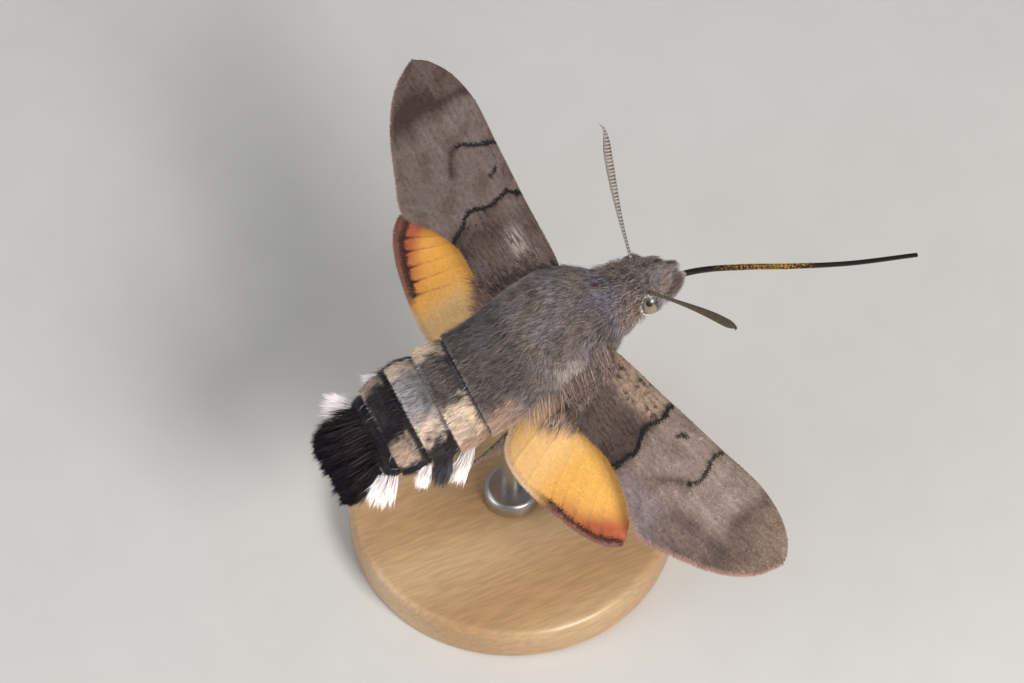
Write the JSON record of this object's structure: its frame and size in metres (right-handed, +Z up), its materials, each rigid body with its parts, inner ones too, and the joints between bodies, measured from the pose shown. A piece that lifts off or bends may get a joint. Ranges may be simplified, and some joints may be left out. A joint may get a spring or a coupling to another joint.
{
  "type": "hummingbird hawk moth model",
  "caption": "Still, life-size hawk moth in hovering flight with spread wings and a long tongue, held over a round wooden base by a thin steel rod.",
  "frame": {"origin": "middle of the underside of the stand's base", "axes": "+Z up, -Y the way the moth faces, +X to the moth's left"},
  "size_m": [0.0466, 0.048, 0.0328],
  "materials": {
    "grey_brown_coat": "short soft scale hair, matte",
    "dark_coat": "scale hair with pale patches and white tufts, matte",
    "eye_surface": "faceted, glossy",
    "feeler_scales": "fine rings, satin",
    "tongue_cuticle": "smooth and shiny",
    "leg_scales": "matte",
    "forewing_scales": "powdery scales, matte",
    "hindwing_scales": "powdery scales, matte",
    "base_wood": "satin lacquer",
    "rod_steel": "fine brushed"
  },
  "bodies": {
    "root": {"head": "grey_brown_coat", "thorax": "grey_brown_coat", "abdomen_ring_1": "grey_brown_coat", "abdomen_ring_2": "grey_brown_coat", "abdomen_ring_3": "dark_coat", "abdomen_ring_4": "dark_coat", "abdomen_ring_5": "dark_coat", "tail_fan": "dark_coat", "eye_left": "eye_surface", "eye_right": "eye_surface", "palp_left": "grey_brown_coat", "palp_right": "grey_brown_coat", "feeler_left": "feeler_scales", "feeler_right": "feeler_scales", "forewing_left": "forewing_scales", "forewing_right": "forewing_scales", "hindwing_left": "hindwing_scales", "hindwing_right": "hindwing_scales", "foreleg_left": "leg_scales", "foreleg_right": "leg_scales", "midleg_left": "leg_scales", "midleg_right": "leg_scales", "hindleg_left": "leg_scales", "hindleg_right": "leg_scales", "tongue_near": "tongue_cuticle", "tongue_far": "tongue_cuticle", "stand_base": "base_wood", "stand_rod": "rod_steel", "stand_ferrule": "rod_steel"}
  },
  "joints": []
}
